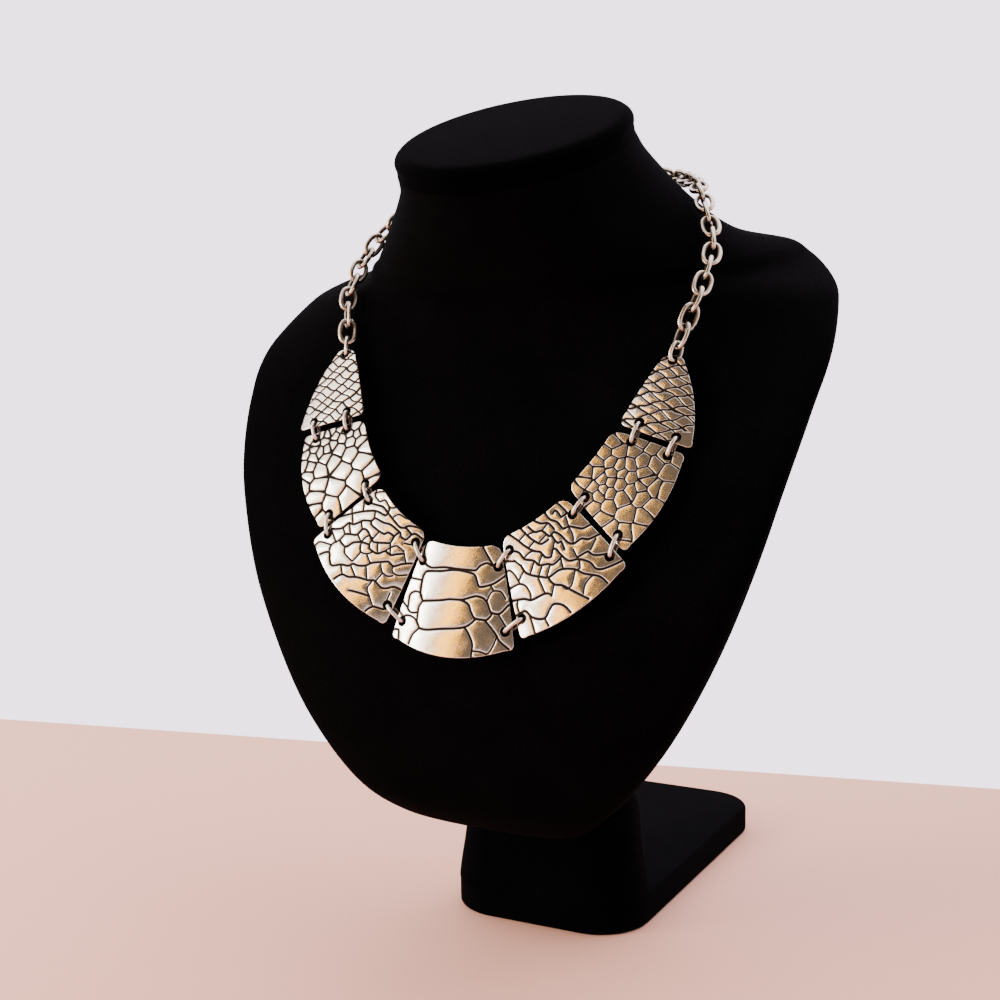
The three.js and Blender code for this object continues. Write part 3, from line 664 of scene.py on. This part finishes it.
def pierced_sheet(outline, holes, thickness, front, crease, spacing):
    """A sheet with rounded edges: its points, faces and how dark each point is.

    front(u, v, with_emboss) is the height of its face, and crease(u, v) how dark a point is: deep in a
    crease, or in the painted shade round a hole.
    """
    loops = [(outline, EDGE_RADIUS), *[(hole[::-1], HOLE_EDGE_RADIUS) for hole in holes]]
    rims = [inset(loop, radius) for loop, radius in loops]
    flat_holes = [rim[::-1] for rim in rims[1:]]
    parts, faces, creases, offset = [], [], [], 0
    for is_back in (False, True):
        points, triangles = fill(rims[0], flat_holes, BACK_GRID if is_back else spacing)
        u, v = points.T
        height = front(u, v, not is_back) - (thickness if is_back else 0)
        parts.append(np.column_stack([points, height]))
        creases.append(np.zeros(len(points)) if is_back else crease(u, v))
        order = triangles[:, ::-1] if is_back else triangles
        faces += (order + offset).tolist()
        offset += len(points)
    for loop, radius in loops:
        profile = [
            (radius * (1 - math.sin(angle)), -radius * (1 - math.cos(angle)))
            for angle in quarter_turn(ROUNDING_STEPS)
        ]
        profile += [(edge, -thickness - drop) for edge, drop in reversed(profile)]
        first, count = offset, len(loop)
        for edge, drop in profile:
            ring = inset(loop, edge)
            u, v = ring.T
            is_near_face = 1 + drop / thickness > 0.5
            parts.append(np.column_stack([ring, front(u, v, is_near_face) + drop]))
            # Round a hole the darkness stays on down the wall: painted shade in the hole. The
            # outline's edge fades it.
            kept = max(0, 1 + drop / radius) if loop is outline else 1
            creases.append(crease(u, v) * kept)
        for row in range(len(profile) - 1):
            quads = band(first + row * count, first + (row + 1) * count, count)
            faces += [quad[::-1] for quad in quads]
        offset += len(profile) * count
    return np.vstack(parts), faces, np.concatenate(creases)


# -------------------- skins
def wavy(u, v, size, height, phase):
    """A slow wave of either sign, with a smaller and quicker one on it."""
    u, v = u / size, v / size
    slow = np.sin(u + phase) * np.cos(v * 1.3 - phase)
    quick = np.sin(v * 2.1 + u * 1.7 + 2 * phase)
    return height * (slow + quick / 2)


def bent(u, v, sizes, height, phase):
    """u and v moved by slow waves."""
    along, across = sizes
    return u + wavy(u, v, along, height, phase), v + wavy(v, u, across, height, phase + 1)


def distance_to_lines(u, v, lines):
    """Distance from each point to the nearest of the lines."""
    nearest = np.full(np.shape(u), np.inf)
    for line in lines:
        for (start_u, start_v), (end_u, end_v) in zip(line[:-1], line[1:]):
            along_u, along_v = end_u - start_u, end_v - start_v
            share = ((u - start_u) * along_u + (v - start_v) * along_v) / (along_u**2 + along_v**2)
            share = np.clip(share, 0, 1)
            away = np.hypot(u - start_u - share * along_u, v - start_v - share * along_v)
            nearest = np.minimum(nearest, away)
    return nearest


def charted_skin(deep, fine):
    """Distances to the deep and to the fine creases of a chart."""
    deep_lines, fine_lines = (
        [smooth_rows(line, LINE_STEPS) if len(line) > 2 else line for line in lines]
        for lines in (deep, fine)
    )

    def distances(u, v):
        return distance_to_lines(u, v, deep_lines), distance_to_lines(u, v, fine_lines)

    return distances


def scaly_skin(middles, phase):
    """Distances to creases half way between the middles of neighbouring scales."""

    def distances(u, v):
        bent_u, bent_v = bent(u, v, **SCALY_WAVES, phase=phase)
        nearest = np.full(np.shape(u), np.inf)
        second = nearest.copy()
        for middle_u, middle_v in middles:
            away = np.hypot(bent_u - middle_u, bent_v - middle_v)
            second = np.minimum(second, np.maximum(nearest, away))
            nearest = np.minimum(nearest, away)
        border = (second - nearest) / 2
        return border * SCALY_DEEP_SHARE, border

    return distances


def netted_skin(families, bare, phase):
    """Distances to crossing families of creases, bare round one corner."""

    def distances(u, v):
        bent_u, bent_v = bent(u, v, **NET_WAVES, phase=phase)
        nearest = np.full(np.shape(u), np.inf)
        for slope, step in families:
            along = (bent_v - slope * bent_u) / step
            away = np.abs(along - np.round(along)) * step / math.hypot(1, slope)
            nearest = np.minimum(nearest, away)
        is_bare = np.hypot(u - bare[0], v - bare[1]) < NET_BARE_RADIUS
        nearest = np.where(is_bare, NET_BARE_RADIUS, nearest)
        return nearest * NET_DEEP_SHARE, nearest

    return distances


# -------------------- plates
def plate_axes(plate, side):
    """Axes u, v and normal of a plate, and its centre; side -1 mirrors it to the left."""
    lean, turn, swing = (math.radians(plate[key]) for key in ("lean", "turn", "swing"))
    level = math.cos(lean)
    normal = Vector((math.sin(turn) * level, -math.cos(turn) * level, math.sin(lean)))
    down = Vector((0, 0, -1))
    down = (down - normal * down.dot(normal)).normalized()
    across = normal.cross(down)
    v = down * math.cos(swing) + across * math.sin(swing)
    u = v.cross(normal)
    axes = np.array([u, v, normal, plate["centre"]]) * np.array([side, 1, 1])
    return axes[:3], axes[3]


def plate_outline(plate, side_steps=40, corner_steps=8):
    """The plate's rounded outline, anticlockwise in (u, v)."""
    corners = [np.array(corner, float) for corner in plate["corners"]]
    outline = []
    count = len(corners)
    for i, corner in enumerate(corners):
        after, beyond = corners[(i + 1) % count], corners[(i + 2) % count]
        direction = (after - corner) / np.linalg.norm(after - corner)
        next_direction = (beyond - after) / np.linalg.norm(beyond - after)
        start = corner + direction * CORNER_ROUNDING
        end = after - direction * CORNER_ROUNDING
        outward = np.array([direction[1], -direction[0]])
        control = (start + end) / 2 + outward * 2 * plate["bulges"][i]
        next_start = after + next_direction * CORNER_ROUNDING
        side = (start, control, end, side_steps)
        turn = (end, after, next_start, corner_steps)
        for a, b, c, steps in (side, turn):
            for t in np.arange(steps) / steps:
                outline.append((1 - t) ** 2 * a + 2 * t * (1 - t) * b + t**2 * c)
    outline = np.array(outline)
    following = np.roll(outline, -1, 0)
    area = np.sum(outline[:, 0] * following[:, 1] - following[:, 0] * outline[:, 1])
    return outline if area > 0 else outline[::-1]


def make_plate(node, plate, side, relief, distances, material):
    """A bent plate, embossed with the creases that lie at distances(u, v)."""
    flat = math.sqrt(BEND_RADIUS**2 - plate["flat_at"] ** 2)
    pillow_depth, width = relief
    pierced = [(hole, HOLE_RADIUS) for hole in plate["holes"]]
    if "apex" in plate:
        pierced.append((plate["apex"], APEX_HOLE_RADIUS))

    def crease(u, v):
        deep, fine = distances(u, v)
        return np.maximum(
            np.exp(-((deep / (width * DEEP_HALF_WIDTH)) ** 2)),
            FINE_SHARE * np.exp(-((fine / (width * FINE_HALF_WIDTH)) ** 2)),
        )

    def front(u, v, with_emboss):
        bend = np.sqrt(BEND_RADIUS**2 - u**2) - flat
        if not with_emboss:
            return bend
        pillow = np.exp(-np.minimum(*distances(u, v)) / PILLOW_REACH)
        return bend - DEEP_CREASE * crease(u, v) - pillow_depth * pillow

    def darkness(u, v):
        """The creases' oxide, and painted shade on a rim round each hole."""
        dark = crease(u, v)
        for (hole_u, hole_v), radius in pierced:
            beyond = np.maximum(np.hypot(u - hole_u, v - hole_v) - radius, 0)
            dark = np.maximum(dark, np.exp(-((beyond / HOLE_SHADE_REACH) ** 2)))
        return dark

    holes = [circle(hole, radius) for hole, radius in pierced]
    points, faces, creases = pierced_sheet(
        plate_outline(plate), holes, THICKNESS, front, darkness, SURFACE_GRID
    )
    axes, centre = plate_axes(plate, side)
    if side < 0:
        faces = [face[::-1] for face in faces]
    placed = centre + points @ axes
    finish_piece("embossed_" + node, placed, faces, material, "plate_silver", node, creases)


# -------------------- rings, links and clasp
def wire_loop(centre, along, normal, half_length, half_width, wire, steps=48, sides=14):
    """A closed oval of lightly uneven round wire: points, faces and how dark each point is, which is
    painted shade on the wire's inner side.
    """
    across = np.cross(normal, along)
    turn = 2 * np.pi * np.arange(steps) / steps
    flat = np.column_stack([
        half_length * signed_power(np.cos(turn), 2 / OVAL_SQUARENESS),
        half_width * signed_power(np.sin(turn), 2 / OVAL_SQUARENESS),
    ])
    axes = np.array([along, across])
    middles = centre + flat @ axes
    ahead = np.roll(flat, -1, 0) - np.roll(flat, 1, 0)
    ahead /= np.linalg.norm(ahead, axis=1)[:, None]
    outwards = np.column_stack([ahead[:, 1], -ahead[:, 0]]) @ axes
    waves = sum(np.sin(count * turn + rng.uniform(0, 6)) for count in WIRE_WAVES)
    thick = wire / 2 * (1 + WIRE_UNEVENNESS * waves)
    points, darkness = [], []
    for k in range(sides):
        angle = 2 * math.pi * k / sides
        spoke = outwards * math.cos(angle) + normal * math.sin(angle)
        points.append(middles + thick[:, None] * spoke)
        # The side that faces into the loop gets painted shade.
        darkness.append(np.full(steps, INNER_SHADE * max(0, -math.cos(angle))))
    points = np.array(points).transpose(1, 0, 2).reshape(-1, 3)
    darkness = np.array(darkness).T.ravel()
    faces = []
    for i in range(steps):
        row, after = i * sides, (i + 1) % steps * sides
        for k in range(sides):
            step = (k + 1) % sides
            faces.append((row + k, after + k, after + step, row + step))
    return points, faces, darkness


def node_points(node):
    """The corners of a CAD node, in millimetres."""
    points = np.array([tuple(vertex.co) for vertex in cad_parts[node].data.vertices]) / MM
    return np.unique(points.round(3), axis=0)


def oval_of(node, wire, shorter=0.0, width_share=1):
    """Centre, long axis, normal and half sizes of the middle line of a wire in a node's place."""
    points = node_points(node)
    centre = points.mean(0)
    _, vectors = np.linalg.eigh(np.cov((points - centre).T))
    normal, across, along = vectors.T
    spread = (points - centre) @ np.array([along, across]).T
    half_length, half_width = (spread.max(0) - spread.min(0)) / 2
    half_length -= shorter
    half_width *= width_share
    return centre, along, normal, half_length - wire / 2, half_width - wire / 2


def link_oval(node):
    return oval_of(node, LINK_WIRE, LINK_SOLID_WIRE - LINK_WIRE, LINK_WIDTH_SHARE)


def make_wire(node, oval, wire, material, slot):
    points, faces, darkness = wire_loop(*oval, wire)
    finish_piece("wire_" + node, points, faces, material, slot, node, darkness)


def measured_line(points):
    """A smooth line through the points, and the length up to each of its own points."""
    line = smooth_rows(points, ROUTE_STEPS)
    return line, np.concatenate([[0], np.cumsum(np.linalg.norm(np.diff(line, axis=0), axis=1))])


def along_line(line, lengths, distances):
    """The points at distances along a line, and its directions there."""
    at, ahead, behind = (
        np.column_stack([np.interp(distances + reach, lengths, line[:, k]) for k in range(3)])
        for reach in (0, DIRECTION_REACH, -DIRECTION_REACH)
    )
    directions = ahead - behind
    return at, directions / np.linalg.norm(directions, axis=1)[:, None]


def make_back_chain(side, word, material):
    """The links behind the neck, five to a piece, in turn flat on the neck and on edge."""
    last_oval = link_oval(f"link_{VISIBLE_LINKS:02d}_{word}")
    last, last_along, last_normal, half_length, half_width = last_oval
    before = link_oval(f"link_{VISIBLE_LINKS - 1:02d}_{word}")[0]
    clasp_low, clasp_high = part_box("clasp")
    clasp_end = (clasp_high.x if side > 0 else clasp_low.x) / MM
    route = [before, last] + [np.array(point) * (side, 1, 1) for point in HIDDEN_ROUTE]
    line, lengths = measured_line(route)
    pitch = np.linalg.norm(last - before)
    tail = abs(clasp_end) - CLASP["hole_inset"] + half_length
    shares = np.arange(1, HIDDEN_LINKS + 1) / HIDDEN_LINKS
    places, directions = along_line(line, lengths, pitch + (lengths[-1] - tail - pitch) * shares)
    # The last visible link is on edge, so the next one lies flat.
    flat_normal = np.cross(last_normal, last_along)
    points, faces, inner_shades = [], [], []
    for i, (place, along) in enumerate(zip(places, directions)):
        flat_normal = flat_normal - along * (flat_normal @ along)
        flat_normal /= np.linalg.norm(flat_normal)
        on_edge = i % 2 == 1
        normal = np.cross(flat_normal, along) if on_edge else flat_normal
        loop, loop_faces, darkness = wire_loop(
            place, along, normal, half_length, half_width, LINK_WIRE
        )
        first = sum(map(len, points))
        faces += [tuple(first + index for index in face) for face in loop_faces]
        points.append(loop)
        inner_shades.append(darkness)
        if len(points) == LINKS_A_PIECE:
            node = f"chain_back_{1 + i // LINKS_A_PIECE}_{word}"
            finish_piece(
                "wire_" + node, np.vstack(points), faces, material, "chain_silver", node,
                np.concatenate(inner_shades),
            )
            points, faces, inner_shades = [], [], []


def make_clasp(material):
    """A plain bar with round ends and a hole in each, where the CAD clasp is."""
    points = node_points("clasp")
    centre = (points.min(0) + points.max(0)) / 2
    _, vectors = np.linalg.eigh(np.cov((points - centre).T))
    normal, across, along = vectors.T
    if np.dot(np.cross(along, across), normal) < 0:
        across = -across
    half_length, half_width, thickness, hole_inset, hole_radius = CLASP.values()
    straight = half_length - half_width
    outline = [
        (end * straight + half_width * math.cos(angle), half_width * math.sin(angle))
        for end, first in ((1, -math.pi / 2), (-1, math.pi / 2))
        for angle in first + np.pi * np.arange(CLASP_END_STEPS + 1) / CLASP_END_STEPS
    ]
    holes = [circle((end * (half_length - hole_inset), 0), hole_radius) for end in (1, -1)]

    def front(u, v, with_emboss):
        return np.full(u.shape, thickness / 2)

    def crease(u, v):
        return np.zeros(u.shape)

    sheet, faces, creases = pierced_sheet(
        np.array(outline), holes, thickness, front, crease, CLASP_GRID
    )
    placed = centre + sheet @ np.array([along, across, normal])
    finish_piece("clasp_bar", placed, faces, material, "chain_silver", "clasp", creases)


# -------------------- materials
def set_inputs(node, values):
    for name, value in values.items():
        node.inputs[name].default_value = value


def new_material(name):
    """A material, its nodes and links, its shader and the place on the object."""
    material = bpy.data.materials.new(name)
    material.use_nodes = True
    nodes, links = material.node_tree.nodes, material.node_tree.links
    place = nodes.new("ShaderNodeTexCoord").outputs["Object"]
    return material, nodes, links, nodes["Principled BSDF"], place


def noise(nodes, links, place, scale, detail=3.0, roughness=0.55):
    texture = nodes.new("ShaderNodeTexNoise")
    set_inputs(texture, {"Scale": scale, "Detail": detail, "Roughness": roughness})
    links.new(place, texture.inputs["Vector"])
    return texture.outputs["Fac"]


def ramp(nodes, links, value, stops):
    """Grey ramp with stops of (place, grey)."""
    node = nodes.new("ShaderNodeValToRGB")
    elements = node.color_ramp.elements
    while len(elements) < len(stops):
        elements.new(0.5)
    for element, (at, grey) in zip(elements, stops):
        element.position = at
        element.color = (grey, grey, grey, 1)
    links.new(value, node.inputs["Fac"])
    return node.outputs["Color"]


def mix(nodes, links, factor, first, second, blend="MIX"):
    """Mixes two colours. Each value is a number, a colour or a node's output."""
    node = nodes.new("ShaderNodeMix")
    node.data_type = "RGBA"
    node.blend_type = blend
    factor_socket, first_socket, second_socket, result_socket = 0, 6, 7, 2
    values = {factor_socket: factor, first_socket: first, second_socket: second}
    for socket, value in values.items():
        if isinstance(value, tuple):
            node.inputs[socket].default_value = (*value, 1)
        elif isinstance(value, float):
            node.inputs[socket].default_value = value
        else:
            links.new(value, node.inputs[socket])
    return node.outputs[result_socket]


def bump(nodes, links, height, strength, distance):
    node = nodes.new("ShaderNodeBump")
    set_inputs(node, {"Strength": strength, "Distance": distance})
    links.new(height, node.inputs["Height"])
    return node.outputs["Normal"]


def tinted(colour, tones):
    return tuple(value * tone for value, tone in zip(colour, tones))


def velvet_material(name, shade):
    """Black velvet with a short pile, brushed a little darker and paler in places."""
    material, nodes, links, shader, place = new_material(name)
    drift = noise(nodes, links, place, VELVET_DRIFT_SCALE, 2)
    pile = noise(nodes, links, place, VELVET_PILE_SCALE, 2)
    shades = (shade, shade, shade)
    brushed = mix(nodes, links, drift, tinted(VELVET_DARK, shades), tinted(VELVET_PALE, shades))
    tufts = ramp(nodes, links, pile, VELVET_PILE_STOPS)
    links.new(mix(nodes, links, 1.0, brushed, tufts, "MULTIPLY"), shader.inputs["Base Color"])
    set_inputs(shader, VELVET_SHADER)
    links.new(bump(nodes, links, pile, *VELVET_PILE_BUMP), shader.inputs["Normal"])
    return material


def silver_material(name, tones, roughness, grain_strength):
    """Antique silver: satin on the crests, blackened where the crease attribute is high, which is
    oxide in the plates' creases and painted shade round the holes and on the wires' inner sides.
    """
    material, nodes, links, shader, place = new_material(name)
    attribute = nodes.new("ShaderNodeAttribute")
    attribute.attribute_name = "crease"
    patina = noise(nodes, links, place, PATINA_SCALE, 5, 0.65)
    grain = noise(nodes, links, place, GRAIN_SCALE, 4, 0.7)
    warmth = ramp(nodes, links, patina, PATINA_STOPS)
    metal = mix(nodes, links, warmth, tinted(COOL_SILVER, tones), tinted(WARM_SILVER, tones))
    specks = ramp(nodes, links, grain, SPECK_STOPS)
    speckled = mix(nodes, links, specks, metal, tinted(SPECK_COLOUR, tones))
    # Oxide in the plates' creases, and painted shade at the holes and on the wires' inner sides.
    oxide_and_shade = ramp(nodes, links, attribute.outputs["Fac"], OXIDE_AND_SHADE_STOPS)
    colour = mix(nodes, links, oxide_and_shade, speckled, OXIDE_AND_SHADE_COLOUR)
    links.new(colour, shader.inputs["Base Color"])
    shader.inputs["Metallic"].default_value = 1
    smoother, rougher = ROUGHNESS_SPREAD
    worn = ramp(nodes, links, patina, [(0.3, roughness + smoother), (0.75, roughness + rougher)])
    links.new(mix(nodes, links, oxide_and_shade, worn, OXIDE_AND_SHADE_ROUGHNESS), shader.inputs["Roughness"])
    links.new(bump(nodes, links, grain, grain_strength, GRAIN_DISTANCE), shader.inputs["Normal"])
    return material


def floor_material():
    material, nodes, links, shader, place = new_material("pale_floor")
    fine = noise(nodes, links, place, FLOOR_SCALE, 2)
    links.new(mix(nodes, links, fine, *FLOOR_TONES), shader.inputs["Base Color"])
    shader.inputs["Roughness"].default_value = FLOOR_ROUGHNESS
    return material


# -------------------- studio
def make_camera():
    azimuth, down, roll = (math.radians(CAMERA[key]) for key in ("azimuth", "down", "roll"))
    level = math.cos(down)
    back = Vector((math.sin(azimuth) * level, -math.cos(azimuth) * level, math.sin(down)))
    data = bpy.data.cameras.new("camera")
    data.sensor_width = CAMERA["sensor"]
    data.lens = CAMERA["lens"]
    data.clip_start, data.clip_end = CAMERA["clip"]
    camera = place_object("camera", data)
    turn = (-back).to_track_quat("-Z", "Y").to_matrix() @ Matrix.Rotation(roll, 3, "Z")
    camera.matrix_world = Matrix.Translation(Vector(CAMERA["place"])) @ turn.to_4x4()
    bpy.context.scene.camera = camera


def make_world():
    """A pale room, with a dim warm part high in front of the bust that darkens the metal."""
    world = bpy.data.worlds.new("studio")
    world.use_nodes = True
    nodes, links = world.node_tree.nodes, world.node_tree.links
    direction = nodes.new("ShaderNodeTexCoord")
    split = nodes.new("ShaderNodeSeparateXYZ")
    links.new(direction.outputs["Generated"], split.inputs["Vector"])
    both = nodes.new("ShaderNodeMath")
    both.operation = "MULTIPLY"
    for socket, (axis, begins, full) in zip(both.inputs, DIM_PART):
        spread = nodes.new("ShaderNodeMapRange")
        set_inputs(spread, {"From Min": begins, "From Max": full})
        links.new(split.outputs[axis], spread.inputs["Value"])
        links.new(spread.outputs["Result"], socket)
    colour = mix(nodes, links, both.outputs["Value"], ROOM_COLOUR, DIM_COLOUR)
    links.new(colour, nodes["Background"].inputs["Color"])
    bpy.context.scene.world = world


def make_floor():
    """A table top. It ends behind the bust along a slanting edge, as in the photo."""
    edge_left, edge_right = TABLE_EDGE
    mesh = bpy.data.meshes.new("floor")
    corners = [
        (-TABLE_REACH, -TABLE_REACH, 0), (TABLE_REACH, -TABLE_REACH, 0),
        (TABLE_REACH, edge_right, 0), (-TABLE_REACH, edge_left, 0),
    ]
    mesh.from_pydata(corners, [], [(0, 1, 2, 3)])
    mesh.materials.append(floor_material())
    place_object("floor", mesh)


def make_light(name, place, target, size, power, colour, slant):
    data = bpy.data.lights.new(name, "AREA")
    data.shape = "RECTANGLE"
    data.size, data.size_y = size
    data.energy = power
    data.color = colour
    light = place_object(name, data)
    light.location = place
    light.rotation_mode = "QUATERNION"
    aim = (Vector(target) - Vector(place)).to_track_quat("-Z", "Y")
    light.rotation_quaternion = aim @ Quaternion((0, 0, 1), math.radians(slant))


# -------------------- build
make_camera()
make_world()
make_floor()
for light in LIGHTS:
    make_light(*light)

velvet, velvet_cap, velvet_base = (velvet_material(*item) for item in VELVET_SHADES.items())
plate_silver, ring_silver, chain_silver = (
    silver_material(name, *values) for name, values in SILVERS.items()
)

make_base(velvet_base)
make_post(velvet_base)
make_body(velvet)
make_cap(velvet_cap)

for kind, word, relief, skin in [
    ("plate_centre", "", "charted", charted_skin(CENTRE_DEEP, CENTRE_FINE)),
    ("plate_inner", "_right", "charted", charted_skin(INNER_RIGHT_DEEP, INNER_RIGHT_FINE)),
    ("plate_inner", "_left", "charted", charted_skin(INNER_LEFT_DEEP, INNER_LEFT_FINE)),
    ("plate_outer", "_right", "scaly_right", scaly_skin(OUTER_RIGHT_SCALES, phase=1)),
    ("plate_outer", "_left", "scaly_left", scaly_skin(OUTER_LEFT_SCALES, phase=2)),
    ("plate_end", "_right", "netted", netted_skin(**END_NET_RIGHT, phase=3)),
    ("plate_end", "_left", "netted", netted_skin(**END_NET_LEFT, phase=4)),
]:
    side = -1 if word == "_left" else 1
    make_plate(kind + word, PLATES[kind], side, RELIEF[relief], skin, plate_silver)

for side, word in ((1, "right"), (-1, "left")):
    for place in RING_PLACES:
        ring = f"ring_{place}_{word}"
        make_wire(ring, oval_of(ring, RING_WIRE), RING_WIRE, ring_silver, "ring_silver")
    for number in range(1, VISIBLE_LINKS + 1):
        link = f"link_{number:02d}_{word}"
        make_wire(link, link_oval(link), LINK_WIRE, chain_silver, "chain_silver")
    make_back_chain(side, word, chain_silver)
make_clasp(chain_silver)
